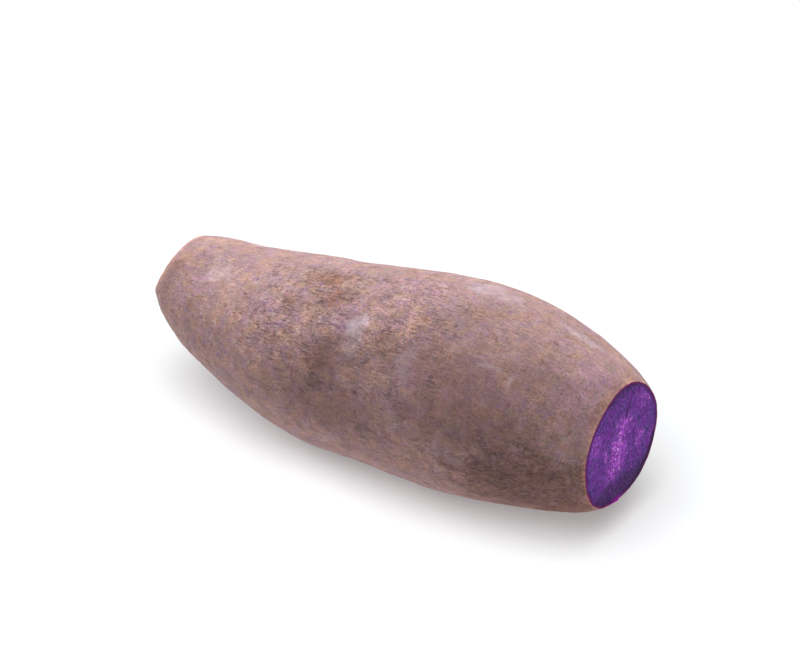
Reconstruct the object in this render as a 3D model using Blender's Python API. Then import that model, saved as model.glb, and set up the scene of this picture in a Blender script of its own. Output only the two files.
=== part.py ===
"""Purple yam with both ends cut off, lying on its belly.

One grown piece, so one closed solid. Units are metres and +Z is up. The length runs along X,
with the larger cut face at +X. The origin is under the middle of the yam, on the surface that
it lies on.

The body is swept along a gently bent centre line. Curves of the position along the length
give the radius, the height of the centre and its sideways bend. Low, broad lumps are added
to that, the knife's two planes end it, and the belly is flat where the yam rests.
"""

import math

import bmesh
import bpy
import numpy as np
from mathutils import Vector

# Driving dimensions
LENGTH = 0.188
GIRTH_RADIUS = 0.0371
WIDTH_FACTOR = 1.03
HEIGHT_FACTOR = 0.97
BELLY_FLAT_DEPTH = 0.0007

# Radius as a share of GIRTH_RADIUS, by position along the length (0 far cut, 1 near cut).
# The first and last points lie past the cuts.
RADIUS_POINTS = (
    (-0.06, 0.12), (0.00, 0.37), (0.07, 0.567), (0.17, 0.70), (0.32, 0.89), (0.50, 0.951),
    (0.68, 1.00), (0.84, 0.90), (0.94, 0.755), (1.00, 0.604), (1.06, 0.29),
)
# Height of the centre line above the lowest point of the sweep.
HEIGHT_POINTS = ((0.00, 0.0430), (0.25, 0.0339), (0.50, 0.0346), (0.75, 0.0363), (1.00, 0.0342))
# Sideways bend of the centre line.
BEND_POINTS = ((0.00, 0.0011), (0.33, -0.0010), (0.67, 0.0002), (1.00, 0.0003))

# Broad lumps: height, waves around, waves along, phase in radians.
LUMPS = (
    (0.00045, 2, 1.3, 0.6),
    (0.00035, 3, 2.1, 2.2),
    (0.00025, 5, 3.4, 4.0),
)

# Knife planes: turn about Z and tilt up of each outward normal, in degrees.
NEAR_CUT_TURN = -2.6
NEAR_CUT_TILT = 1.8
FAR_CUT_TURN = 2.6
FAR_CUT_TILT = 25.8

# Mesh density
RINGS = 46
SEGMENTS = 48
OVERRUN = 0.06
SEARCH_STEPS = 40

SKIN_COLOUR = (0.42, 0.28, 0.25, 1.0)
SKIN_ROUGHNESS = 0.75
FLESH_COLOUR = (0.16, 0.05, 0.30, 1.0)
FLESH_ROUGHNESS = 0.45


def clear_scene():
    """Remove every object that the scene starts with."""
    for item in list(bpy.data.objects):
        bpy.data.objects.remove(item, do_unlink=True)


def smooth_curve(points):
    """Return a function that follows a natural cubic spline through (place, value) points."""
    place = np.array([point[0] for point in points])
    value = np.array([point[1] for point in points])
    gap = np.diff(place)
    slope = np.diff(value) / gap
    system = np.eye(len(place))
    target = np.zeros(len(place))
    for i in range(1, len(place) - 1):
        system[i, i - 1:i + 2] = (gap[i - 1], 2 * (gap[i - 1] + gap[i]), gap[i])
        target[i] = 6 * (slope[i] - slope[i - 1])
    curvature = np.linalg.solve(system, target)

    def evaluate(query):
        i = np.clip(np.searchsorted(place, query) - 1, 0, len(gap) - 1)
        after = (query - place[i]) / gap[i]
        before = 1 - after
        bulge = (before ** 3 - before) * curvature[i] + (after ** 3 - after) * curvature[i + 1]
        return before * value[i] + after * value[i + 1] + gap[i] ** 2 / 6 * bulge

    return evaluate


radius_along = smooth_curve(RADIUS_POINTS)
height_along = smooth_curve(HEIGHT_POINTS)
bend_along = smooth_curve(BEND_POINTS)


def lumps(along, around):
    """Height of the broad lumps at a place on the skin."""
    total = np.zeros(np.broadcast(along, around).shape)
    for height, waves_around, waves_along, phase in LUMPS:
        turn = waves_around * around + phase
        total += height * np.sin(turn + 2 * math.pi * waves_along * along)
    return total


def skin_points(along, around):
    """Points on the uncut body: along is 0 to 1 down the length, around is in radians."""
    radius = GIRTH_RADIUS * radius_along(along) + lumps(along, around)
    x = (along - 0.5) * LENGTH + 0 * around
    y = bend_along(along) + WIDTH_FACTOR * radius * np.cos(around)
    z = height_along(along) + HEIGHT_FACTOR * radius * np.sin(around)
    return np.stack([x, y, z], axis=-1)


def knife_plane(end, turn, tilt):
    """Point and outward normal of the cut at an end of the body, 0 or 1."""
    side = 1 if end == 1 else -1
    turn = math.radians(turn)
    tilt = math.radians(tilt)
    level = side * math.cos(tilt)
    normal = np.array([level * math.cos(turn), level * math.sin(turn), math.sin(tilt)])
    point = np.array([(end - 0.5) * LENGTH, float(bend_along(end)), float(height_along(end))])
    return point, normal


def cut_place(end, turn, tilt, around):
    """Where along the length each lengthwise line of the skin meets a knife plane."""
    point, normal = knife_plane(end, turn, tilt)
    inner = np.full(around.shape, 0.5)
    outer = np.full(around.shape, end + (OVERRUN if end == 1 else -OVERRUN))
    for _ in range(SEARCH_STEPS):
        middle = (inner + outer) / 2
        past = (skin_points(middle, around) - point) @ normal > 0
        outer = np.where(past, middle, outer)
        inner = np.where(past, inner, middle)
    return inner


def body_grid():
    """Rings of points from the far cut to the near cut, each of SEGMENTS points."""
    around = np.arange(SEGMENTS) * 2 * math.pi / SEGMENTS
    far = cut_place(0, FAR_CUT_TURN, FAR_CUT_TILT, around)
    near = cut_place(1, NEAR_CUT_TURN, NEAR_CUT_TILT, around)
    share = np.linspace(0, 1, RINGS)[:, None]
    grid = skin_points(far + (near - far) * share, around[None, :])
    floor = grid[..., 2].min() + BELLY_FLAT_DEPTH
    grid[..., 2] = np.maximum(grid[..., 2], floor)
    low = grid.reshape(-1, 3).min(axis=0)
    high = grid.reshape(-1, 3).max(axis=0)
    origin = np.array([(low[0] + high[0]) / 2, (low[1] + high[1]) / 2, low[2]])
    return grid - origin


def build_mesh(name, grid):
    """Close the rings of points into one body with a flat face at each cut."""
    shape = bmesh.new()
    rings = [[shape.verts.new(Vector(point)) for point in ring] for ring in grid]
    for first, second in zip(rings, rings[1:]):
        for i in range(SEGMENTS):
            j = (i + 1) % SEGMENTS
            shape.faces.new((first[i], second[i], second[j], first[j]))
    for row, ring in ((0, rings[0]), (-1, rings[-1])):
        centre = shape.verts.new(Vector(grid[row].mean(axis=0)))
        for i in range(SEGMENTS):
            wedge = shape.faces.new((centre, ring[i], ring[(i + 1) % SEGMENTS]))
            wedge.material_index = 1
    bmesh.ops.recalc_face_normals(shape, faces=shape.faces)
    mesh = bpy.data.meshes.new(name)
    shape.to_mesh(mesh)
    shape.free()
    mesh.shade_smooth()
    mesh.set_sharp_from_angle(angle=math.radians(40))
    return mesh


def plain_material(name, colour, roughness):
    """A Principled material that isn't metal."""
    material = bpy.data.materials.new(name)
    material.use_nodes = True
    shader = material.node_tree.nodes["Principled BSDF"]
    shader.inputs["Base Color"].default_value = colour
    shader.inputs["Roughness"].default_value = roughness
    shader.inputs["Metallic"].default_value = 0.0
    return material


def build_purple_yam():
    """The whole yam: skin on the body, flesh on the two cut faces."""
    mesh = build_mesh("purple_yam", body_grid())
    mesh.materials.append(plain_material("yam_skin", SKIN_COLOUR, SKIN_ROUGHNESS))
    mesh.materials.append(plain_material("yam_flesh", FLESH_COLOUR, FLESH_ROUGHNESS))
    yam = bpy.data.objects.new("purple_yam", mesh)
    bpy.context.scene.collection.objects.link(yam)
    return yam


clear_scene()
build_purple_yam()
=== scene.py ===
"""Looks of the purple yam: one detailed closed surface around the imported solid, with skin and
cut-flesh materials, a plain studio floor, soft light and a camera.

Lengths are metres. The surface follows the solid's own construction: a bent sweep ended by two
knife planes. "along" runs from 0 at the far cut to 1 at the near cut, and "around" is an angle
in radians from +Y over the top (a quarter turn) to -Y (a half turn).
"""

import math

import bmesh
import bpy
import numpy as np
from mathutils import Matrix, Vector


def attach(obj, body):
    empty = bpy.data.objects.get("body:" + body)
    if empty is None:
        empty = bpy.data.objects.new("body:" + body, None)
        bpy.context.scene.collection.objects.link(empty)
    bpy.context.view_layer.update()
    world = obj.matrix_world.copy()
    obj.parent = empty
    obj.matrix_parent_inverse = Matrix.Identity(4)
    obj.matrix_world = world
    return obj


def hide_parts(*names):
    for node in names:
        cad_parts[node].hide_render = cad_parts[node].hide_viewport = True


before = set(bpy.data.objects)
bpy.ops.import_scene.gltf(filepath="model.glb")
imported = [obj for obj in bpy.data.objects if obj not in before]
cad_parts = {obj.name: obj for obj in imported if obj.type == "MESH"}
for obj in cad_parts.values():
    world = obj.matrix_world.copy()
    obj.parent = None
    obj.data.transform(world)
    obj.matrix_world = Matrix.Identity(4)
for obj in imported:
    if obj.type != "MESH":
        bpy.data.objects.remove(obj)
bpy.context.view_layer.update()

MM = 0.001

# The solid's shape
LENGTH = 0.188
GIRTH_RADIUS = 0.0371
WIDTH_FACTOR = 1.03
HEIGHT_FACTOR = 0.97
BELLY_FLAT_DEPTH = 0.0007
RADIUS_POINTS = (
    (-0.06, 0.12), (0.00, 0.37), (0.07, 0.567), (0.17, 0.70), (0.32, 0.89), (0.50, 0.951),
    (0.68, 1.00), (0.84, 0.90), (0.94, 0.755), (1.00, 0.604), (1.06, 0.29),
)
HEIGHT_POINTS = ((0.00, 0.0430), (0.25, 0.0339), (0.50, 0.0346), (0.75, 0.0363), (1.00, 0.0342))
BEND_POINTS = ((0.00, 0.0011), (0.33, -0.0010), (0.67, 0.0002), (1.00, 0.0003))
LUMPS = (
    (0.00045, 2, 1.3, 0.6),
    (0.00035, 3, 2.1, 2.2),
    (0.00025, 5, 3.4, 4.0),
)
NEAR_CUT = {"end": 1, "turn": -2.6, "tilt": 1.8}
FAR_CUT = {"end": 0, "turn": 2.6, "tilt": 25.8}
OVERRUN = 0.06
SEARCH_STEPS = 40

# Density of the detailed surface
RINGS = 266
CAP_RINGS = 38
SEGMENTS = 8 * CAP_RINGS
CAP_RING_POWER = 0.94

# The skin near a cut, in mm: how far its colour changes and how far its edge is ragged
EDGE_DEPTH = 2.4
RAG_DEPTH = 1.6
RAG_HEIGHT = 0.22

# Heights of the skin's own relief in mm, from the broadest to the finest
DENT_HEIGHT = 0.26
RIPPLE_HEIGHT = 0.14
WRINKLE_HEIGHT = 0.06
GRAIN_HEIGHT = 0.04
RUST_HEIGHT = 0.05
RUST_GRAIN_HEIGHT = 0.10

# Heights of a cut face's relief in mm
FIBRE_HEIGHT = 0.055
SAG_HEIGHT = 0.10
FLAP_HEIGHT = 0.8

# The angle in degrees past which a shading edge is sharp
SHARP_ANGLE = 50

# Depth of each material's fine relief in mm, and the flesh's weak gloss
SKIN_BUMP = 0.32
FLESH_BUMP = 0.16
FLESH_SPECULAR = 0.07

# Layout of the surface map, which is one unit square: the skin's strip, and each cut face's disc
MAP_MARGIN = 0.005
SKIN_MAP_WIDTH = 0.99
SKIN_MAP_HEIGHT = 0.75
DISC_SIZE = 0.1
DISC_HEIGHT = 0.88
FAR_DISC = 0.415
NEAR_DISC = 0.135

# Studio: each light's direction, spread in degrees and strength
FLOOR_SIZE = 20
FLOOR_COLOUR = (0.715, 0.73, 0.74, 1)
FLOOR_KEY = ((0.12, -1.0, 2.1), 60, 2.9)
FLOOR_FILL = ((0.0, 0.0, 2.1), 60, 1.5)
YAM_KEY = ((-1.2, 0.80, 2.1), 76, 4.8)
YAM_SIDE = ((1.6, 0.6, 0.4), 40, 0.8)
SURROUND_LIGHT = 0.15
SURROUND_SEEN = 1.0

# Camera: angles in degrees, then metres, then millimetres
AZIMUTH = 33.55
ELEVATION = 30.07
DISTANCE = 0.6608
TARGET = (0.00595, 0.00237, 0.04607)
FOCAL_LENGTH = 85
SENSOR_WIDTH = 36

# Marks on the skin: along, around in degrees, half length and half width in mm, strength.
# Scuffs and smears of pale grey, along the top ridge partly a painted highlight.
PALE_AND_HIGHLIGHT_MARKS = (
    (0.518, 127, 4.2, 6.0, 0.85),
    (0.528, 141, 4.0, 5.0, 0.4),
    (0.640, 141, 4.5, 7.0, 0.4),
    (0.800, 129, 5.0, 1.2, 0.5),
    (0.838, 134, 1.2, 3.5, 0.5),
    # The next three whiten a strip along the top ridge: partly a painted highlight.
    (0.705, 79, 12.0, 6.5, 0.5),
    (0.870, 75, 8.0, 2.2, 0.5),
    (0.905, 72, 6.0, 1.5, 0.5),
    (0.160, 118, 8.0, 7.0, 0.3),
    (0.250, 262, 8.0, 6.0, 0.4),
    (0.520, 330, 7.0, 5.0, 0.4),
    (0.740, 20, 5.0, 6.0, 0.4),
    (0.380, 40, 9.0, 4.0, 0.35),
)
# Where the violet shows through.
LILAC_MARKS = (
    (0.955, 104, 8.0, 9.0, 0.85),
    (0.935, 126, 8.0, 8.0, 0.6),
    (0.985, 140, 5.0, 8.0, 0.5),
    (0.142, 135, 6.0, 6.0, 0.6),
    (0.300, 128, 9.0, 7.0, 0.5),
    (0.660, 147, 8.0, 7.0, 0.7),
    (0.500, 125, 9.0, 10.0, 0.5),
    (0.780, 131, 9.0, 5.0, 0.5),
    (0.600, 95, 12.0, 6.0, 0.4),
    (0.300, 340, 10.0, 8.0, 0.7),
    (0.850, 300, 9.0, 8.0, 0.7),
    (0.550, 40, 10.0, 7.0, 0.5),
    (0.080, 20, 7.0, 7.0, 0.7),
)
# Rust-brown stains, also slightly raised and rough.
RUST_MARKS = (
    (0.405, 103, 10.0, 6.0, 1.0),
    (0.445, 113, 7.0, 4.5, 1.0),
    (0.360, 122, 5.0, 2.5, 0.5),
    (0.470, 152, 7.0, 6.0, 0.5),
    (0.060, 128, 4.0, 3.0, 0.6),
    (0.990, 130, 2.0, 16.0, 0.7),
    (0.945, 224, 14.0, 10.0, 1.0),
    (0.560, 260, 8.0, 6.0, 0.6),
    (0.250, 20, 5.0, 4.0, 0.7),
    (0.680, 345, 6.0, 4.0, 0.8),
)
# Broad darker brown areas, mostly low on the sides: painted shade, partly dull brown skin.
SHADE_AND_DULL_MARKS = (
    (0.480, 150, 14.0, 9.0, 0.6),
    (0.720, 138, 34.0, 14.0, 0.65),
    (0.820, 122, 32.0, 18.0, 0.42),
    (0.780, 164, 34.0, 16.0, 0.62),
    (0.760, 128, 46.0, 34.0, 0.30),
    (0.890, 196, 32.0, 19.0, 0.78),
    (0.500, 178, 30.0, 14.0, 0.7),
    (0.045, 156, 6.0, 9.0, 0.35),
    (0.955, 95, 9.0, 9.0, 0.22),
    (0.350, 300, 22.0, 14.0, 0.5),
    (0.750, 30, 24.0, 12.0, 0.5),
)
# The darkest: soil stains, partly painted shade low down.
SOIL_AND_SHADE_MARKS = (
    (0.915, 207, 37.0, 26.0, 1.0),
    (0.640, 196, 24.0, 14.0, 0.4),
    (0.460, 285, 26.0, 16.0, 0.4),
)
# Where the cracks are strongest and the colours vary most.
BUSY_MARKS = (
    (0.420, 124, 34.0, 34.0, 1.0),
    (0.580, 120, 30.0, 34.0, 0.8),
    (0.880, 192, 30.0, 16.0, 0.9),
    (0.100, 60, 12.0, 10.0, 0.5),
    (0.600, 30, 20.0, 14.0, 0.9),
    (0.300, 330, 22.0, 14.0, 0.8),
    (0.800, 280, 18.0, 14.0, 0.7),
    (0.450, 230, 16.0, 12.0, 0.6),
)
# Painted light: areas made lighter than the rest.
PAINTED_LIGHT_MARKS = (
    (0.350, 140, 26.0, 15.0, 1.0),
    (0.195, 138, 18.0, 16.0, 1.0),
    (0.590, 118, 16.0, 13.0, 1.0),
    (0.640, 240, 16.0, 10.0, 0.35),
)
# Small root scars: along, around in degrees, radius in mm, depth in mm.
SCARS = (
    (0.405, 106, 0.9, 0.30), (0.428, 112, 0.7, 0.25), (0.300, 118, 0.7, 0.20),
    (0.222, 140, 0.6, 0.18), (0.580, 118, 0.6, 0.18), (0.700, 104, 0.7, 0.20),
    (0.905, 118, 0.6, 0.18), (0.868, 96, 0.5, 0.15), (0.560, 165, 0.8, 0.22),
    (0.760, 171, 0.7, 0.20), (0.120, 95, 0.6, 0.18), (0.350, 60, 0.9, 0.30),
    (0.620, 48, 0.8, 0.25), (0.180, 30, 1.0, 0.32), (0.480, 10, 1.1, 0.35),
    (0.780, 350, 0.9, 0.30), (0.300, 320, 1.0, 0.32), (0.640, 300, 0.9, 0.30),
    (0.880, 40, 0.8, 0.25), (0.500, 230, 0.8, 0.25), (0.220, 215, 0.9, 0.28),
    (0.700, 215, 0.7, 0.22),
)
# Clusters of bright flesh on a cut face of radius one: side, up, radius, strength.
CORE_SPOTS = (
    (-0.76, 0.30, 0.17, 0.5), (-0.45, -0.02, 0.15, 0.4), (-0.36, -0.30, 0.14, 0.5),
    (-0.18, -0.48, 0.10, 0.4), (0.62, 0.55, 0.17, 0.5), (0.49, -0.10, 0.14, 0.7),
    (0.22, 0.30, 0.14, 0.6), (-0.05, -0.05, 0.20, 1.0),
)


# ---------------------------------------------------------------- shape of the solid

def smooth_curve(points):
    """Return a function that follows a natural cubic spline through (place, value) points."""
    place = np.array([point[0] for point in points])
    value = np.array([point[1] for point in points])
    gap = np.diff(place)
    slope = np.diff(value) / gap
    system = np.eye(len(place))
    target = np.zeros(len(place))
    for i in range(1, len(place) - 1):
        system[i, i - 1:i + 2] = (gap[i - 1], 2 * (gap[i - 1] + gap[i]), gap[i])
        target[i] = 6 * (slope[i] - slope[i - 1])
    curvature = np.linalg.solve(system, target)

    def evaluate(query):
        i = np.clip(np.searchsorted(place, query) - 1, 0, len(gap) - 1)
        after = (query - place[i]) / gap[i]
        before = 1 - after
        bulge = (before ** 3 - before) * curvature[i] + (after ** 3 - after) * curvature[i + 1]
        return before * value[i] + after * value[i + 1] + gap[i] ** 2 / 6 * bulge

    return evaluate


radius_along = smooth_curve(RADIUS_POINTS)
height_along = smooth_curve(HEIGHT_POINTS)
bend_along = smooth_curve(BEND_POINTS)


def lumps(along, around):
    """Height of the broad lumps at a place on the skin."""
    total = np.zeros(np.broadcast(along, around).shape)
    for height, waves_around, waves_along, phase in LUMPS:
        turn = waves_around * around + phase
        total += height * np.sin(turn + 2 * math.pi * waves_along * along)
    return total


def skin_points(along, around):
    """Points on the uncut body."""
    radius = GIRTH_RADIUS * radius_along(along) + lumps(along, around)
    x = (along - 0.5) * LENGTH + 0 * around
    y = bend_along(along) + WIDTH_FACTOR * radius * np.cos(around)
    z = height_along(along) + HEIGHT_FACTOR * radius * np.sin(around)
    return np.stack([x, y, z], axis=-1)


def knife_plane(cut):
    """Point and outward normal of a cut."""
    end = cut["end"]
    side = 1 if end == 1 else -1
    turn = math.radians(cut["turn"])
    tilt = math.radians(cut["tilt"])
    level = side * math.cos(tilt)
    normal = np.array([level * math.cos(turn), level * math.sin(turn), math.sin(tilt)])
    point = np.array([(end - 0.5) * LENGTH, float(bend_along(end)), float(height_along(end))])
    return point, normal


def cut_place(cut, around):
    """Where along the length each lengthwise line of the skin meets a cut."""
    point, normal = knife_plane(cut)
    end = cut["end"]
    inner = np.full(around.shape, 0.5)
    outer = np.full(around.shape, end + (OVERRUN if end == 1 else -OVERRUN))
    for _ in range(SEARCH_STEPS):
        middle = (inner + outer) / 2
        past = (skin_points(middle, around) - point) @ normal > 0
        outer = np.where(past, middle, outer)
        inner = np.where(past, inner, middle)
    return inner


# ---------------------------------------------------------------- noise

# Large odd numbers that scramble a cell's place and the seed, and a mask that keeps 32 bits
HASH_X = 73856093
HASH_Y = 19349663
HASH_Z = 83492791
HASH_SEED = 2654435761
HASH_MIX = 0x45D9F3B
HASH_BITS = 0xFFFFFFFF

# Brings gradient noise up to about -1 to 1
NOISE_GAIN = 1.6


def hash_directions(cells, seed):
    """A repeatable unit vector for each whole-number cell."""
    mixed = cells[..., 0] * HASH_X ^ cells[..., 1] * HASH_Y ^ cells[..., 2] * HASH_Z
    mixed = (mixed ^ seed * HASH_SEED) & HASH_BITS
    for _ in range(2):
        mixed = (mixed ^ (mixed >> 16)) * HASH_MIX & HASH_BITS
    mixed = mixed ^ (mixed >> 16)
    turn = (mixed & 0xFFFF) / 65536 * 2 * math.pi
    lift = (mixed >> 16) / 32768 - 1
    flat = np.sqrt(np.maximum(0, 1 - lift ** 2))
    return np.stack([flat * np.cos(turn), flat * np.sin(turn), lift], axis=-1)


def smooth_noise(points, seed):
    """Gradient noise, about -1 to 1, with features one unit across."""
    base = np.floor(points).astype(np.int64)
    offset = points - base
    fade = offset ** 3 * (offset * (offset * 6 - 15) + 10)
    total = 0
    for corner in np.ndindex(2, 2, 2):
        corner = np.array(corner)
        pull = (hash_directions(base + corner, seed) * (offset - corner)).sum(axis=-1)
        weight = np.prod(np.where(corner, fade, 1 - fade), axis=-1)
        total = total + weight * pull
    return total * NOISE_GAIN


def rough_noise(points, size, octaves, seed, stretch=(1, 1, 1)):
    """Fractal noise whose largest features are size metres, stretched along the axes."""
    place = points / (size * np.array(stretch))
    total = 0
    for octave in range(octaves):
        total = total + smooth_noise(place * 2 ** octave, seed + octave) / 2 ** octave
    return total


def smooth_step(low, high, value):
    """0 below low, 1 above high, and a smooth rise between."""
    share = np.clip((value - low) / (high - low), 0, 1)
    return share * share * (3 - 2 * share)


# ---------------------------------------------------------------- the detailed surface

def surface_normals(grid):
    """Outward normals of a grid of rings."""
    lengthwise = np.gradient(grid, axis=0)
    sideways = np.roll(grid, -1, axis=1) - np.roll(grid, 1, axis=1)
    normal = np.cross(sideways, lengthwise)
    normal /= np.linalg.norm(normal, axis=-1, keepdims=True)
    outward = grid - grid.mean(axis=1, keepdims=True)
    side = np.sign((normal * outward).sum(axis=(0, 1, 2)))
    return normal * side


def surface_distance(along, around, place, angle):
    """Distances in mm, lengthwise and sideways, from each point to a place on the skin."""
    radius = GIRTH_RADIUS * radius_along(place) / MM
    turn = (around - math.radians(angle) + math.pi) % (2 * math.pi) - math.pi
    return (along - place) * LENGTH / MM, turn * radius


def mark_mask(along, around, wobble, marks):
    """Soft blotches with ragged edges, 0 to 1."""
    mask = np.zeros(along.shape)
    for place, angle, half_length, half_width, strength in marks:
        lengthwise, sideways = surface_distance(along, around, place, angle)
        away = np.hypot(lengthwise / half_length, sideways / half_width) + 0.55 * wobble
        mask = np.maximum(mask, strength * (1 - smooth_step(0.35, 1.15, away)))
    return mask


def scar_relief(along, around, wobble):
    """Height in mm of the root scars, each a small pit with a raised lip, and the pits' mask."""
    height = np.zeros(along.shape)
    pits = np.zeros(along.shape)
    for place, angle, radius, depth in SCARS:
        lengthwise, sideways = surface_distance(along, around, place, angle)
        away = np.hypot(lengthwise / (1.5 * radius), sideways / radius) * (1 + 0.3 * wobble)
        pit = np.exp(-away ** 2)
        lip = np.exp(-(away - 1.7) ** 2 / 0.35)
        height += depth * (0.35 * lip - pit)
        pits = np.maximum(pits, pit)
    return height, pits


def skin_relief(points, along, around):
    """Height in metres of the skin's own relief, and the masks that the material reads."""
    wobble = rough_noise(points, 5 * MM, octaves=4, seed=11)
    dents = rough_noise(points, 26 * MM, octaves=2, seed=21)
    ripples = rough_noise(points, 8 * MM, octaves=3, seed=31, stretch=(1.4, 1, 1))
    folds = rough_noise(points, 3.2 * MM, octaves=3, seed=41, stretch=(3, 1, 1))
    wrinkles = 1 - 2 * np.abs(folds)
    grain = rough_noise(points, 1.8 * MM, octaves=2, seed=51, stretch=(1.5, 1, 1))
    scars, scar_mask = scar_relief(along, around, wobble)
    rust = mark_mask(along, around, wobble, RUST_MARKS)
    # Painted light: the far end made lighter, fading out by about a third of the way along
    painted_light_end = 0.45 * (1 - smooth_step(0.06, 0.36, along))
    masks = {
        # Pale scuffs, partly a painted highlight on the top ridge
        "pale": mark_mask(along, around, wobble, PALE_AND_HIGHLIGHT_MARKS),
        "lilac": mark_mask(along, around, wobble, LILAC_MARKS),
        # Painted shade: the dim marks, partly dull skin, and the darkest marks, partly soil
        "dim": mark_mask(along, around, 0.35 * wobble, SHADE_AND_DULL_MARKS),
        "soil_and_shade": mark_mask(along, around, 0.3 * wobble, SOIL_AND_SHADE_MARKS),
        "busy": mark_mask(along, around, wobble, BUSY_MARKS),
        # Painted light: the lighter marks and the far end
        "painted_light": np.maximum(painted_light_end, mark_mask(along, around, wobble, PAINTED_LIGHT_MARKS)),
        "rust": rust,
        "scar": scar_mask,
    }
    height = DENT_HEIGHT * dents + RIPPLE_HEIGHT * ripples + WRINKLE_HEIGHT * wrinkles
    height += GRAIN_HEIGHT * grain + scars
    height += rust * (RUST_GRAIN_HEIGHT * grain + RUST_HEIGHT)
    return height * MM, masks


def body_rings():
    """The detailed skin as rings of points, with its masks."""
    around = np.arange(SEGMENTS) * 2 * math.pi / SEGMENTS
    far = cut_place(FAR_CUT, around)
    near = cut_place(NEAR_CUT, around)
    share = np.linspace(0, 1, RINGS)[:, None]
    along = far + (near - far) * share
    around = np.broadcast_to(around[None, :], along.shape)
    grid = skin_points(along, around)
    floor = grid[..., 2].min() + BELLY_FLAT_DEPTH
    low = grid.reshape(-1, 3).min(axis=0)
    high = grid.reshape(-1, 3).max(axis=0)
    origin = np.array([(low[0] + high[0]) / 2, (low[1] + high[1]) / 2, floor])
    normal = surface_normals(grid)
    height, masks = skin_relief(grid, along, around)
    rag = rough_noise(grid, 1.6 * MM, octaves=3, seed=81)
    for name, cut in (("near_edge", NEAR_CUT), ("far_edge", FAR_CUT)):
        point, plane_normal = knife_plane(cut)
        depth = (point - grid) @ plane_normal / MM
        masks[name] = 1 - smooth_step(0, EDGE_DEPTH, depth + 0.5 * rag)
        height += RAG_HEIGHT * MM * rag * (1 - smooth_step(0, RAG_DEPTH, depth))
    push = normal * height[..., None]
    for cut, ring in ((FAR_CUT, 0), (NEAR_CUT, -1)):
        plane_normal = knife_plane(cut)[1]
        push[ring] -= (push[ring] @ plane_normal)[:, None] * plane_normal
    grid = grid + push - origin
    grid[..., 2] = np.maximum(grid[..., 2], 0)
    return grid, masks


def cap_points(rim):
    """Points of a flat cut face: square rings around a centre, each shaped like the rim.

    Returns the points by (row, column), each one's share of the way from centre to rim, and the
    rim vertex that it stands on, or -1.
    """
    centre = rim.mean(axis=0)
    size = 2 * CAP_RINGS + 1
    points = np.zeros((size, size, 3))
    shares = np.zeros((size, size))
    rim_index = np.full((size, size), -1)
    for row, column in np.ndindex(size, size):
        i = row - CAP_RINGS
        j = column - CAP_RINGS
        level = max(abs(i), abs(j))
        if level == 0:
            points[row, column] = centre
            continue
        if i == level and j > -level:
            step = level - j
        elif j == -level and i > -level:
            step = 3 * level - i
        elif i == -level and j < level:
            step = 5 * level + j
        else:
            step = 7 * level + i
        place = step * CAP_RINGS / level
        first = int(place) % SEGMENTS
        blend = place - int(place)
        edge = rim[first] * (1 - blend) + rim[(first + 1) % SEGMENTS] * blend
        share = (level / CAP_RINGS) ** CAP_RING_POWER
        points[row, column] = centre + (edge - centre) * share
        shares[row, column] = share
        if level == CAP_RINGS:
            rim_index[row, column] = first
    return points, shares, rim_index


def core_mask(side, up, points):
    """The strip and clusters of bright flesh, 0 to 1, on a cut face of radius one."""
    wobble = rough_noise(points, 4 * MM, octaves=4, seed=91)
    strip = np.abs(side - 0.24 * up + 0.07 + 0.14 * wobble) / (0.22 + 0.14 * wobble)
    mask = 1 - smooth_step(0.1, 1.0, strip)
    mask = mask * (1 - smooth_step(0.30, 0.60, np.abs(up + 0.02)))
    for place, height, radius, strength in CORE_SPOTS:
        away = np.hypot(side - place, 0.7 * (up - height)) / radius + 0.5 * wobble
        mask = np.maximum(mask, strength * (1 - smooth_step(0.2, 1.1, away)))
    return mask


def flesh_relief(side, up, points, shares):
    """Height in mm of a cut face's fibres, slight sag and torn flap, and the flap's mask."""
    fibres = rough_noise(points, 1.5 * MM, octaves=3, seed=61, stretch=(1, 0.8, 1.6))
    sag = rough_noise(points, 11 * MM, octaves=2, seed=71)
    inner = 1 - smooth_step(0.90, 0.99, shares)
    flap = np.exp(-((side + 0.17) / 0.13) ** 2 - ((up + 0.91) / 0.05) ** 2)
    height = inner * (FIBRE_HEIGHT * fibres + SAG_HEIGHT * (sag - 1)) + FLAP_HEIGHT * flap
    return np.where(shares < 1, height, 0), flap


def build_surface():
    """The yam's whole surface as one closed mesh."""
    grid, masks = body_rings()
    shape = bmesh.new()
    names = list(masks) + ["radial", "side", "up", "core", "flap"]
    layers = {name: shape.verts.layers.float.new(name) for name in names}
    uv_layer = shape.loops.layers.uv.new("OFBake")
    rings = []
    for row, ring in enumerate(grid):
        made = []
        for column, point in enumerate(ring):
            vertex = shape.verts.new(Vector(point))
            for name, mask in masks.items():
                vertex[layers[name]] = mask[row, column]
            made.append(vertex)
        rings.append(made)
    for row, (first, second) in enumerate(zip(rings, rings[1:])):
        for i in range(SEGMENTS):
            j = (i + 1) % SEGMENTS
            face = shape.faces.new((first[i], second[i], second[j], first[j]))
            corners = ((row, i), (row + 1, i), (row + 1, i + 1), (row, i + 1))
            for loop, (down, across) in zip(face.loops, corners):
                u = MAP_MARGIN + SKIN_MAP_WIDTH * down / (RINGS - 1)
                v = MAP_MARGIN + SKIN_MAP_HEIGHT * across / SEGMENTS
                loop[uv_layer].uv = (u, v)
    for cut, row, disc in ((FAR_CUT, 0, FAR_DISC), (NEAR_CUT, RINGS - 1, NEAR_DISC)):
        build_cap(shape, grid[row], rings[row], cut, disc, layers, uv_layer)
    bmesh.ops.recalc_face_normals(shape, faces=shape.faces)
    mesh = bpy.data.meshes.new("yam_surface")
    shape.to_mesh(mesh)
    shape.free()
    mesh.shade_smooth()
    mesh.set_sharp_from_angle(angle=math.radians(SHARP_ANGLE))
    return mesh


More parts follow.
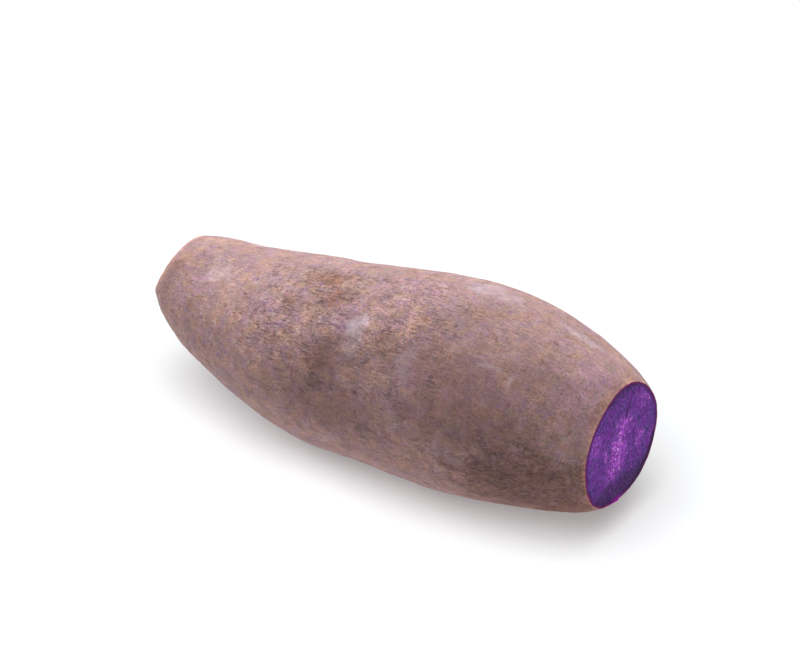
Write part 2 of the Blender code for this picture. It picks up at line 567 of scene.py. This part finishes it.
def build_cap(shape, rim, rim_vertices, cut, disc, layers, uv_layer):
    """Close one end with a cut face that shares the rim's vertices."""
    normal = knife_plane(cut)[1]
    sideways = np.cross([0, 0, 1], normal)
    sideways /= np.linalg.norm(sideways)
    upward = np.cross(normal, sideways)
    points, shares, rim_index = cap_points(rim)
    away = points - rim.mean(axis=0)
    radius = np.linalg.norm(rim - rim.mean(axis=0), axis=1).mean()
    side = away @ sideways / radius
    up = away @ upward / radius
    height, flap = flesh_relief(side, up, points, shares)
    points += normal * height[..., None] * MM
    core = core_mask(side, up, points)
    values = {"radial": shares, "side": side, "up": up, "core": core, "flap": flap}
    made = {}
    for key in np.ndindex(shares.shape):
        if rim_index[key] >= 0:
            made[key] = rim_vertices[rim_index[key]]
        else:
            made[key] = shape.verts.new(Vector(points[key]))
        for name, value in values.items():
            made[key][layers[name]] = value[key]
    for row, column in np.ndindex(2 * CAP_RINGS, 2 * CAP_RINGS):
        keys = ((row, column), (row + 1, column), (row + 1, column + 1), (row, column + 1))
        face = shape.faces.new([made[key] for key in keys])
        face.material_index = 1
        for loop, key in zip(face.loops, keys):
            u = disc + DISC_SIZE * side[key]
            v = DISC_HEIGHT + DISC_SIZE * up[key]
            loop[uv_layer].uv = (u, v)


# ---------------------------------------------------------------- materials

class Nodes:
    """Short calls for building one material's node tree."""

    def __init__(self, name):
        """Start a material; place is the coordinates that its textures use."""
        self.material = bpy.data.materials.new(name)
        self.material.use_nodes = True
        self.tree = self.material.node_tree
        self.shader = self.tree.nodes["Principled BSDF"]
        self.place = self.add("ShaderNodeTexCoord").outputs["Object"]

    def add(self, kind, **settings):
        """Add a node with some of its settings."""
        node = self.tree.nodes.new(kind)
        for name, value in settings.items():
            setattr(node, name, value)
        return node

    def feed(self, socket, value):
        """Set a socket to a number or colour, or link it to another socket."""
        if isinstance(value, bpy.types.NodeSocket):
            self.tree.links.new(value, socket)
        else:
            socket.default_value = value

    def warp(self, size, reach):
        """Bend the coordinates that later textures use, by reach mm over size mm."""
        node = self.add("ShaderNodeTexNoise")
        self.feed(node.inputs["Vector"], self.scaled((size, size, size)))
        node.inputs["Scale"].default_value = 1.0
        node.inputs["Detail"].default_value = 2.0
        centred = self.add("ShaderNodeVectorMath", operation="SUBTRACT")
        self.feed(centred.inputs[0], node.outputs["Color"])
        centred.inputs[1].default_value = (0.5, 0.5, 0.5)
        offset = self.scale(centred.outputs[0], reach * MM)
        total = self.add("ShaderNodeVectorMath", operation="ADD")
        self.feed(total.inputs[0], self.place)
        self.feed(total.inputs[1], offset)
        self.place = total.outputs[0]

    def scaled(self, stretch, turn=0.0):
        """Object coordinates, turned about Y by turn degrees, with one unit per stretch mm."""
        place = self.place
        if turn:
            rotate = self.add("ShaderNodeVectorRotate", rotation_type="Y_AXIS")
            self.feed(rotate.inputs["Vector"], place)
            rotate.inputs["Angle"].default_value = math.radians(turn)
            place = rotate.outputs["Vector"]
        node = self.add("ShaderNodeVectorMath", operation="MULTIPLY")
        self.feed(node.inputs[0], place)
        node.inputs[1].default_value = [1 / (size * MM) for size in stretch]
        return node.outputs[0]

    def noise(self, stretch, detail=4.0, roughness=0.55, distortion=0.0, shift=0.0, turn=0.0):
        """Noise with features of stretch millimetres along x, y and z, 0 to 1."""
        node = self.add("ShaderNodeTexNoise", noise_dimensions="4D")
        self.feed(node.inputs["Vector"], self.scaled(stretch, turn))
        node.inputs["W"].default_value = shift
        node.inputs["Scale"].default_value = 1.0
        node.inputs["Detail"].default_value = detail
        node.inputs["Roughness"].default_value = roughness
        node.inputs["Distortion"].default_value = distortion
        return node.outputs["Fac"]

    def cells(self, stretch, shift=0.0):
        """Voronoi cells of stretch millimetres: distance and each cell's random colour."""
        node = self.add("ShaderNodeTexVoronoi", voronoi_dimensions="4D")
        self.feed(node.inputs["Vector"], self.scaled(stretch))
        node.inputs["W"].default_value = shift
        node.inputs["Scale"].default_value = 1.0
        return node.outputs["Distance"], node.outputs["Color"]

    def dashes(self, stretch, low, high, shift, turn=0.0):
        """Short soft dashes, 0 to 1, along the longest of the stretch directions."""
        field = self.noise(stretch, detail=2, roughness=0.5, shift=shift, turn=turn)
        return self.ramp(field, low, high)

    def mask(self, name):
        """A mask stored on the mesh."""
        return self.add("ShaderNodeAttribute", attribute_name=name).outputs["Fac"]

    def ramp(self, value, low, high, start=0.0, end=1.0):
        """A smooth change from start to end as value goes from low to high."""
        node = self.add("ShaderNodeMapRange", interpolation_type="SMOOTHSTEP")
        self.feed(node.inputs["Value"], value)
        node.inputs["From Min"].default_value = low
        node.inputs["From Max"].default_value = high
        node.inputs["To Min"].default_value = start
        node.inputs["To Max"].default_value = end
        return node.outputs["Result"]

    def math(self, operation, first, second=0.0):
        """One sum on two numbers."""
        node = self.add("ShaderNodeMath", operation=operation)
        self.feed(node.inputs[0], first)
        self.feed(node.inputs[1], second)
        return node.outputs[0]

    def total(self, *parts):
        """The sum of (value, weight) parts."""
        result = self.math("MULTIPLY", *parts[0])
        for value, weight in parts[1:]:
            result = self.math("ADD", result, self.math("MULTIPLY", value, weight))
        return result

    def mix(self, factor, first, second, blend="MIX"):
        """Mix two colours."""
        node = self.add("ShaderNodeMix", data_type="RGBA", blend_type=blend)
        self.feed(node.inputs[0], factor)
        self.feed(node.inputs[6], first)
        self.feed(node.inputs[7], second)
        return node.outputs[2]

    def scale(self, colour, factor):
        """Brighten or darken a colour."""
        node = self.add("ShaderNodeVectorMath", operation="SCALE")
        self.feed(node.inputs[0], colour)
        self.feed(node.inputs["Scale"], factor)
        return node.outputs[0]

    def finish(self, colour, roughness, height, depth):
        """Connect the surface's colour, its roughness and its relief, depth metres deep."""
        bump = self.add("ShaderNodeBump")
        bump.inputs["Strength"].default_value = 1.0
        bump.inputs["Distance"].default_value = depth
        self.feed(bump.inputs["Height"], height)
        self.feed(self.shader.inputs["Base Color"], colour)
        self.feed(self.shader.inputs["Roughness"], roughness)
        self.feed(self.shader.inputs["Normal"], bump.outputs["Normal"])
        return self.material


def shade(red, green, blue):
    """A colour given as 0 to 255 display values."""
    def linear(value):
        value /= 255
        return value / 12.92 if value <= 0.04045 else ((value + 0.055) / 1.055) ** 2.4
    return (linear(red), linear(green), linear(blue), 1.0)


# Skin colours
TAN = shade(178, 138, 122)
MAUVE = shade(161, 126, 132)
DULL_TAN = shade(161, 128, 120)
LAVENDER = shade(178, 133, 158)
BLUSH = shade(178, 118, 124)
GREY_GREEN = shade(150, 138, 126)
RUST = shade(138, 88, 62)
PALE_GREY = shade(198, 180, 188)
# Pale veil over the pale marks, partly a painted highlight on the top ridge
SMEAR_AND_HIGHLIGHT_GREY = shade(190, 170, 182)
BLOOM = shade(200, 180, 180)
CUT_EDGE = shade(204, 154, 138)
CUT_LIP = shade(212, 150, 134)
# Painted shade, partly dull brown skin
SHADE_AND_DULL_BROWN = shade(120, 84, 79)
# Painted shade, partly soil: a darkening multiplier
SOIL_AND_SHADE_TINT = (0.65, 0.54, 0.47, 1.0)
WARM_TINT = shade(194, 148, 122)
COOL_TINT = shade(126, 102, 132)
CRACK = shade(76, 48, 52)
THREAD = shade(202, 176, 172)
SCRATCH = shade(206, 188, 194)
VIOLET_FLECK = shade(132, 98, 136)
BROWN_FLECK = shade(104, 70, 62)
SCAR = shade(82, 56, 58)

# Flesh colours
BLUE_FLESH = shade(88, 49, 131)
RED_FLESH = shade(116, 39, 148)
GREY_FLESH = shade(98, 64, 146)
DARK_FLESH = shade(62, 32, 86)
CORE = shade(156, 70, 188)
BRIGHT_CORE = shade(218, 106, 236)
SPECK = shade(253, 196, 255)
PIT = shade(58, 10, 80)
SLIT = shade(60, 0, 70)
RIM_BAND = shade(66, 14, 80)
RIM_SHADE = shade(48, 8, 62)
RIM_LINE = shade(128, 14, 98)
FLAP = shade(200, 30, 196)


def skin_fields(n):
    """The skin's masks and noises by name, each 0 to 1."""
    names = ("busy", "pale", "lilac", "rust", "dim", "soil_and_shade", "painted_light", "scar")
    f = {name: n.mask(name) for name in names}
    f["edges"] = n.math("MAXIMUM", n.mask("near_edge"), n.mask("far_edge"))
    f["broad"] = n.noise((34, 20, 20), detail=2, shift=1.0)
    n.warp(9, 1.8)
    f["long_cracks"] = n.noise((4.6, 0.52, 0.52), detail=2, roughness=0.5, shift=11.0)
    f["short_cracks"] = n.dashes((1.9, 0.42, 0.42), 0.54, 0.64, 12.0)
    f["cross_cracks"] = n.dashes((0.44, 1.7, 1.7), 0.54, 0.64, 18.0)
    rising = n.dashes((7, 0.5, 0.5), 0.60, 0.68, 31.0, turn=38)
    falling = n.dashes((6, 0.5, 0.5), 0.61, 0.69, 32.0, turn=-62)
    f["scratches"] = n.math("MAXIMUM", rising, falling)
    n.warp(6, 2.2)
    f["crack_zone"] = n.noise((5, 3, 3), detail=4, roughness=0.6, shift=15.0)
    f["cross_zone"] = n.noise((3, 4, 4), detail=4, roughness=0.6, shift=17.0)
    f["hue"] = n.noise((5.6, 4.9, 4.9), detail=7, roughness=0.62, shift=2.0)
    f["tone"] = n.noise((6.8, 6.0, 6.0), detail=8, roughness=0.70, shift=3.0)
    f["patches"] = n.noise((5.6, 4.8, 4.8), detail=8, roughness=0.66, shift=8.0)
    f["stains"] = n.noise((5, 3.6, 3.6), detail=8, roughness=0.7, shift=9.0)
    f["scuffs"] = n.noise((5.5, 4.2, 4.2), detail=8, roughness=0.68, shift=10.0)
    f["bloom"] = n.noise((2.6, 1.8, 1.8), detail=6, roughness=0.66, shift=20.0)
    f["blush"] = n.noise((3.1, 2.8, 2.8), detail=5, roughness=0.68, shift=16.0)
    f["tint"] = n.noise((1.5, 1.35, 1.35), detail=3, roughness=0.65, shift=14.0)
    f["flecks"] = n.noise((2.2, 1.8, 1.8), detail=3, roughness=0.6, shift=13.0)
    f["lengthwise"] = n.noise((3.4, 0.6, 0.6), detail=3, roughness=0.6, shift=4.0)
    f["crosswise"] = n.noise((0.55, 2.4, 2.4), detail=3, roughness=0.6, shift=5.0)
    f["girth_bands"] = n.noise((2.4, 11, 11), detail=3, roughness=0.55, shift=19.0)
    f["flakes"] = n.noise((1.4, 1.2, 1.2), detail=4, roughness=0.7, distortion=0.4, shift=6.0)
    f["grain"] = n.noise((0.45, 0.38, 0.38), detail=2, shift=7.0)
    return f


def skin_clouds(n, f):
    """The skin's soft colours: tan and mauve clouds, then lavender, blush, rust and pale marks, the
    pale ones partly a painted highlight on the top ridge.
    """
    colour = n.mix(n.ramp(f["hue"], 0.41, 0.59), TAN, MAUVE)
    colour = n.mix(n.ramp(f["broad"], 0.35, 0.65, 0.0, 0.4), colour, DULL_TAN)
    lavender = n.math("ADD", n.ramp(f["patches"], 0.54, 0.61, 0.0, 0.6), f["lilac"])
    lavender = n.math("MULTIPLY", lavender, n.ramp(f["flakes"], 0.3, 0.7, 0.45, 0.90))
    colour = n.mix(lavender, colour, LAVENDER)
    colour = n.mix(n.ramp(f["blush"], 0.54, 0.67, 0.0, 0.45), colour, BLUSH)
    colour = n.mix(n.ramp(f["blush"], 0.46, 0.35, 0.0, 0.55), colour, GREY_GREEN)
    rust = n.math("ADD", n.ramp(f["stains"], 0.56, 0.64, 0.0, 0.7), f["rust"])
    rust = n.math("MULTIPLY", rust, n.ramp(f["flakes"], 0.35, 0.65, 1.0, 0.5))
    colour = n.mix(rust, colour, RUST)
    # Pale scuffs, partly a painted highlight on the top ridge
    pale = n.math("ADD", n.ramp(f["scuffs"], 0.57, 0.66, 0.0, 0.5), f["pale"])
    pale = n.math("MULTIPLY", pale, n.ramp(f["flakes"], 0.3, 0.7, 0.45, 0.85))
    colour = n.mix(pale, colour, PALE_GREY)
    bloom = n.ramp(f["bloom"], 0.56, 0.68, 0.0, 0.40)
    bloom = n.math("MULTIPLY", bloom, n.ramp(f["soil_and_shade"], 0.0, 0.6, 1.0, 0.3))
    return n.mix(bloom, colour, BLOOM)


def skin_shading(n, f, colour):
    """The lighter skin at the cuts, painted shade over the dim and soil areas, which are partly dull
    skin and soil, and painted light on the lighter areas.
    """
    edge = n.math("MULTIPLY", f["edges"], n.ramp(f["hue"], 0.38, 0.62, 0.9, 0.1))
    colour = n.mix(edge, colour, CUT_EDGE)
    lip = n.math("MULTIPLY", n.ramp(f["edges"], 0.80, 0.96), n.ramp(f["tone"], 0.40, 0.58, 0.2, 0.8))
    colour = n.mix(lip, colour, CUT_LIP)
    # Painted shade: darker and browner low on the sides and under the near end, partly dull skin and
    # soil
    colour = n.mix(n.math("MULTIPLY", f["dim"], 0.8), colour, SHADE_AND_DULL_BROWN)
    colour = n.mix(f["soil_and_shade"], colour, SOIL_AND_SHADE_TINT, "MULTIPLY")
    # Painted light: the lighter marks and the far end brighten the skin by up to a quarter
    colour = n.scale(colour, n.ramp(f["painted_light"], 0.0, 1.0, 1.0, 1.25))
    colour = n.mix(n.ramp(f["tint"], 0.52, 0.68, 0.0, 0.14), colour, WARM_TINT)
    return n.mix(n.ramp(f["tint"], 0.48, 0.34, 0.0, 0.20), colour, COOL_TINT)


def skin_contrast(n, f, clouds):
    """Light and dark at every scale over the clouds, strongest where the skin is busy."""
    colour = n.scale(clouds, n.ramp(f["tone"], 0.3, 0.7, 0.71, 1.28))
    colour = n.scale(colour, n.ramp(f["lengthwise"], 0.3, 0.7, 0.90, 1.09))
    colour = n.scale(colour, n.ramp(f["crosswise"], 0.3, 0.7, 0.88, 1.12))
    colour = n.scale(colour, n.ramp(f["girth_bands"], 0.35, 0.65, 0.94, 1.06))
    colour = n.scale(colour, n.ramp(f["flakes"], 0.3, 0.7, 0.90, 1.10))
    colour = n.scale(colour, n.ramp(f["grain"], 0.3, 0.7, 0.80, 1.18))
    return n.mix(n.ramp(f["busy"], 0.0, 1.0, 0.42, 0.0), colour, clouds)


def crack_mask(n, f):
    """Fine dark cracks along and across the skin, fewest on pale marks."""
    cracks = n.math("MULTIPLY", n.ramp(f["long_cracks"], 0.54, 0.61), f["crack_zone"])
    cracks = n.math("MAXIMUM", cracks, n.math("MULTIPLY", f["short_cracks"], 0.7))
    crossing = n.math("MULTIPLY", f["cross_cracks"], n.ramp(f["cross_zone"], 0.46, 0.58))
    cracks = n.math("MAXIMUM", cracks, crossing)
    cracks = n.math("MULTIPLY", cracks, n.ramp(f["busy"], 0.0, 1.0, 0.32, 0.72))
    return n.math("MULTIPLY", cracks, n.ramp(f["pale"], 0.1, 0.7, 1.0, 0.2))


def skin_details(n, f, colour, cracks):
    """Cracks, streaks in the soil and painted shade, threads, scratches, flecks, scars and pale
    smears, which on the top ridge are partly a painted highlight.

    Threads, scratches and violet flecks are weak under the painted shade, on dull skin and on soil.
    """
    colour = n.mix(cracks, colour, CRACK)
    # Threads, scratches and violet flecks fade under the painted shade
    outside_shade_and_soil = n.ramp(n.math("MAXIMUM", f["dim"], f["soil_and_shade"]), 0.2, 0.7, 1.0, 0.2)
    streaked = n.scale(colour, n.ramp(f["lengthwise"], 0.36, 0.64, 0.76, 1.26))
    colour = n.mix(n.ramp(f["soil_and_shade"], 0.1, 0.6), colour, streaked)
    threads = n.math("MULTIPLY", n.ramp(f["long_cracks"], 0.45, 0.36, 0.0, 0.28), f["crack_zone"])
    colour = n.mix(n.math("MULTIPLY", threads, outside_shade_and_soil), colour, THREAD)
    scratches = n.math("MULTIPLY", f["scratches"], n.ramp(f["patches"], 0.50, 0.58, 0.0, 0.26))
    colour = n.mix(n.math("MULTIPLY", scratches, outside_shade_and_soil), colour, SCRATCH)
    violet = n.ramp(f["flecks"], 0.56, 0.64, 0.0, 0.6)
    violet = n.math("MULTIPLY", violet, n.ramp(f["patches"], 0.46, 0.54, 0.1, 1.0))
    colour = n.mix(n.math("MULTIPLY", violet, outside_shade_and_soil), colour, VIOLET_FLECK)
    colour = n.mix(n.ramp(f["flecks"], 0.42, 0.34, 0.0, 0.45), colour, BROWN_FLECK)
    colour = n.mix(n.math("MULTIPLY", f["scar"], 0.6), colour, SCAR)
    # A pale veil over the pale marks, partly a painted highlight on the top ridge.
    return n.mix(n.math("MULTIPLY", f["pale"], 0.3), colour, SMEAR_AND_HIGHLIGHT_GREY)


def skin_material():
    """Thin corky skin: clouded tan and mauve, scuffed and stained, with fine cracks and flecks."""
    n = Nodes("yam_skin_detail")
    f = skin_fields(n)
    f["crack_zone"] = n.ramp(f["crack_zone"], 0.41, 0.56)
    clouds = skin_shading(n, f, skin_clouds(n, f))
    cracks = crack_mask(n, f)
    colour = skin_details(n, f, skin_contrast(n, f, clouds), cracks)
    height = n.total((f["flakes"], 0.5), (f["lengthwise"], 0.35), (f["crosswise"], 0.2),
                     (f["grain"], 0.15), (cracks, -0.4))
    roughness = n.ramp(f["flakes"], 0.3, 0.7, 0.68, 0.88)
    return n.finish(colour, roughness, height, SKIN_BUMP * MM)


def flesh_fields(n):
    """The cut face's masks and noises by name; wobble is about -0.3 to 0.3, the rest 0 to 1."""
    f = {name: n.mask(name) for name in ("radial", "side", "up", "core", "flap")}
    f["wander"] = n.noise((4, 4, 4), detail=4, roughness=0.6, shift=21.0)
    f["wobble"] = n.math("MULTIPLY", n.math("SUBTRACT", f["wander"], 0.5), 0.9)
    n.warp(3, 1.2)
    f["marbling"] = n.noise((5, 2.6, 5), detail=6, roughness=0.72, shift=23.0)
    f["fibres"] = n.noise((3, 0.6, 1.2), detail=4, roughness=0.65, shift=22.0)
    f["shreds"] = n.noise((1.3, 1.0, 1.4), detail=4, roughness=0.75, shift=28.0)
    f["grain"] = n.noise((0.42, 0.36, 0.42), detail=2, shift=25.0)
    f["blobs"] = n.noise((1.2, 1.3, 1.0), detail=1.5, roughness=0.5, shift=30.0)
    f["distance"], f["chance"] = n.cells((1.15, 0.95, 1.25), shift=24.0)
    f["bright"] = n.math("MULTIPLY", n.ramp(f["blobs"], 0.50, 0.60), f["core"])
    return f


def flesh_marbling(n, f):
    """Marbled flesh with a bright core, dark at the top and foot, and light and dark fibres."""
    colour = n.mix(n.ramp(f["marbling"], 0.40, 0.60), BLUE_FLESH, RED_FLESH)
    colour = n.mix(n.ramp(f["wander"], 0.5, 0.64, 0.0, 0.45), colour, GREY_FLESH)
    colour = n.mix(n.math("MULTIPLY", f["core"], 0.65), colour, CORE)
    ends = n.math("ABSOLUTE", n.math("SUBTRACT", f["up"], 0.16))
    ends = n.math("ADD", ends, n.math("MULTIPLY", f["wobble"], 0.5))
    colour = n.mix(n.ramp(ends, 0.50, 0.90, 0.0, 0.9), colour, DARK_FLESH)
    colour = n.scale(colour, n.ramp(f["fibres"], 0.3, 0.7, 0.74, 1.24))
    colour = n.scale(colour, n.ramp(f["shreds"], 0.3, 0.7, 0.60, 1.44))
    return n.scale(colour, n.ramp(f["grain"], 0.3, 0.7, 0.50, 1.52))


def flesh_specks(n, f, colour):
    """Bright clusters, pale specks and dark pits, mostly in the core."""
    colour = n.mix(n.math("MULTIPLY", f["bright"], 0.75), colour, BRIGHT_CORE)
    inner = n.ramp(f["radial"], 0.8, 0.92, 1.0, 0.0)
    scattered = n.math("MULTIPLY", inner, n.ramp(f["marbling"], 0.50, 0.62, 0.05, 0.35))
    dots = n.ramp(f["distance"], 0.22, 0.46, 1.0, 0.0)
    dots = n.math("MULTIPLY", dots, n.ramp(f["chance"], 0.46, 0.54))
    dots = n.math("MULTIPLY", dots, n.math("MAXIMUM", f["core"], scattered))
    colour = n.mix(dots, colour, SPECK)
    pits = n.ramp(f["distance"], 0.20, 0.45, 0.75, 0.0)
    pits = n.math("MULTIPLY", pits, n.ramp(f["chance"], 0.40, 0.36))
    return n.mix(pits, colour, PIT)


def flesh_rim(n, f, colour):
    """A dark band inside the rim, darkest low on the right, and a thin line at the skin."""
    band = n.math("ADD", f["radial"], n.math("MULTIPLY", f["wobble"], 0.16))
    colour = n.mix(n.ramp(band, 0.90, 0.975, 0.0, 0.9), colour, RIM_BAND)
    low_edge = n.total((f["side"], 1.0), (f["up"], -1.0), (f["wobble"], -0.5))
    low_edge = n.math("MULTIPLY", n.ramp(low_edge, 1.05, 1.25, 0.0, 0.85), n.ramp(band, 0.84, 0.93))
    return n.mix(low_edge, colour, RIM_SHADE)


def slit_mask(n, f):
    """A thin slit that runs up from the core towards the rim."""
    away = n.math("ADD", n.total((f["side"], 1.0), (f["up"], -0.42), (f["wobble"], 0.1)), 0.09)
    slit = n.ramp(n.math("ABSOLUTE", away), 0.010, 0.036, 1.0, 0.0)
    slit = n.math("MULTIPLY", slit, n.ramp(f["up"], 0.38, 0.46))
    return n.math("MULTIPLY", slit, n.ramp(f["up"], 0.60, 0.76, 1.0, 0.0))


def flesh_material():
    """Freshly cut violet flesh: marbled, with a core of bright specks, a thin slit and dark rim."""
    n = Nodes("yam_flesh_detail")
    f = flesh_fields(n)
    slit = slit_mask(n, f)
    colour = flesh_specks(n, f, flesh_marbling(n, f))
    colour = n.mix(slit, flesh_rim(n, f, colour), SLIT)
    rim_line = n.ramp(f["radial"], 0.962, 0.982)
    rim_line = n.math("MULTIPLY", rim_line, n.ramp(f["wander"], 0.40, 0.60, 0.3, 1.0))
    colour = n.mix(rim_line, colour, RIM_LINE)
    colour = n.mix(f["flap"], colour, FLAP)
    height = n.total((f["fibres"], 0.5), (f["shreds"], 0.5), (f["bright"], 0.3), (slit, -1.5))
    roughness = n.ramp(f["shreds"], 0.4, 0.7, 0.65, 0.5)
    n.shader.inputs["Specular IOR Level"].default_value = FLESH_SPECULAR
    return n.finish(colour, roughness, height, FLESH_BUMP * MM)


# ---------------------------------------------------------------- the piece

def build_yam():
    """The detailed yam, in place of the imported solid."""
    yam = bpy.data.objects.new("purple_yam_surface", build_surface())
    bpy.context.scene.collection.objects.link(yam)
    yam.data.materials.append(skin_material())
    yam.data.materials.append(flesh_material())
    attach(yam, "root")
    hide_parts("purple_yam")
    return yam


# ---------------------------------------------------------------- studio

def build_floor():
    """A plain pale floor that fills the view."""
    bpy.ops.mesh.primitive_plane_add(size=FLOOR_SIZE)
    floor = bpy.context.object
    floor.name = "studio_floor"
    material = bpy.data.materials.new("studio_floor")
    material.use_nodes = True
    shader = material.node_tree.nodes["Principled BSDF"]
    shader.inputs["Base Color"].default_value = FLOOR_COLOUR
    shader.inputs["Roughness"].default_value = 0.9
    floor.data.materials.append(material)
    return floor


def add_light(name, aim, lit, shadow=True):
    """A soft light that falls evenly from a direction on one object."""
    direction, spread, strength = aim
    light = bpy.data.lights.new(name, "SUN")
    light.angle = math.radians(spread)
    light.energy = strength
    light.use_shadow = shadow
    lamp = bpy.data.objects.new(name, light)
    lamp.location = direction
    lamp.rotation_euler = Vector(direction).to_track_quat("Z", "Y").to_euler()
    bpy.context.scene.collection.objects.link(lamp)
    receivers = bpy.data.collections.new(name)
    receivers.objects.link(lit)
    lamp.light_linking.receiver_collection = receivers


def build_surround():
    """A dim, even surround that shows white."""
    world = bpy.data.worlds.new("studio")
    world.use_nodes = True
    nodes = world.node_tree.nodes
    seen = nodes.new("ShaderNodeLightPath")
    strength = nodes.new("ShaderNodeMapRange")
    strength.inputs["To Min"].default_value = SURROUND_LIGHT
    strength.inputs["To Max"].default_value = SURROUND_SEEN
    world.node_tree.links.new(seen.outputs["Is Camera Ray"], strength.inputs["Value"])
    world.node_tree.links.new(strength.outputs["Result"], nodes["Background"].inputs["Strength"])
    nodes["Background"].inputs["Color"].default_value = (1, 1, 1, 1)
    bpy.context.scene.world = world


def build_studio(yam):
    """Floor and surround, two lights on the floor, and a key and a weak side light on the yam."""
    floor = build_floor()
    add_light("floor_key", FLOOR_KEY, floor)
    add_light("floor_fill", FLOOR_FILL, floor, shadow=False)
    add_light("key", YAM_KEY, yam)
    add_light("side", YAM_SIDE, yam)
    build_surround()
    bpy.context.scene.view_settings.view_transform = "Standard"


def build_camera():
    """A long lens that looks down on the yam from its front right."""
    azimuth = math.radians(AZIMUTH)
    elevation = math.radians(ELEVATION)
    level = math.cos(elevation)
    back = Vector((math.sin(azimuth) * level, -math.cos(azimuth) * level, math.sin(elevation)))
    lens = bpy.data.cameras.new("camera")
    lens.lens = FOCAL_LENGTH
    lens.sensor_width = SENSOR_WIDTH
    lens.clip_start = 0.01
    camera = bpy.data.objects.new("camera", lens)
    camera.location = Vector(TARGET) + back * DISTANCE
    camera.rotation_euler = back.to_track_quat("Z", "Y").to_euler()
    bpy.context.scene.collection.objects.link(camera)
    bpy.context.scene.camera = camera


build_camera()
build_studio(build_yam())
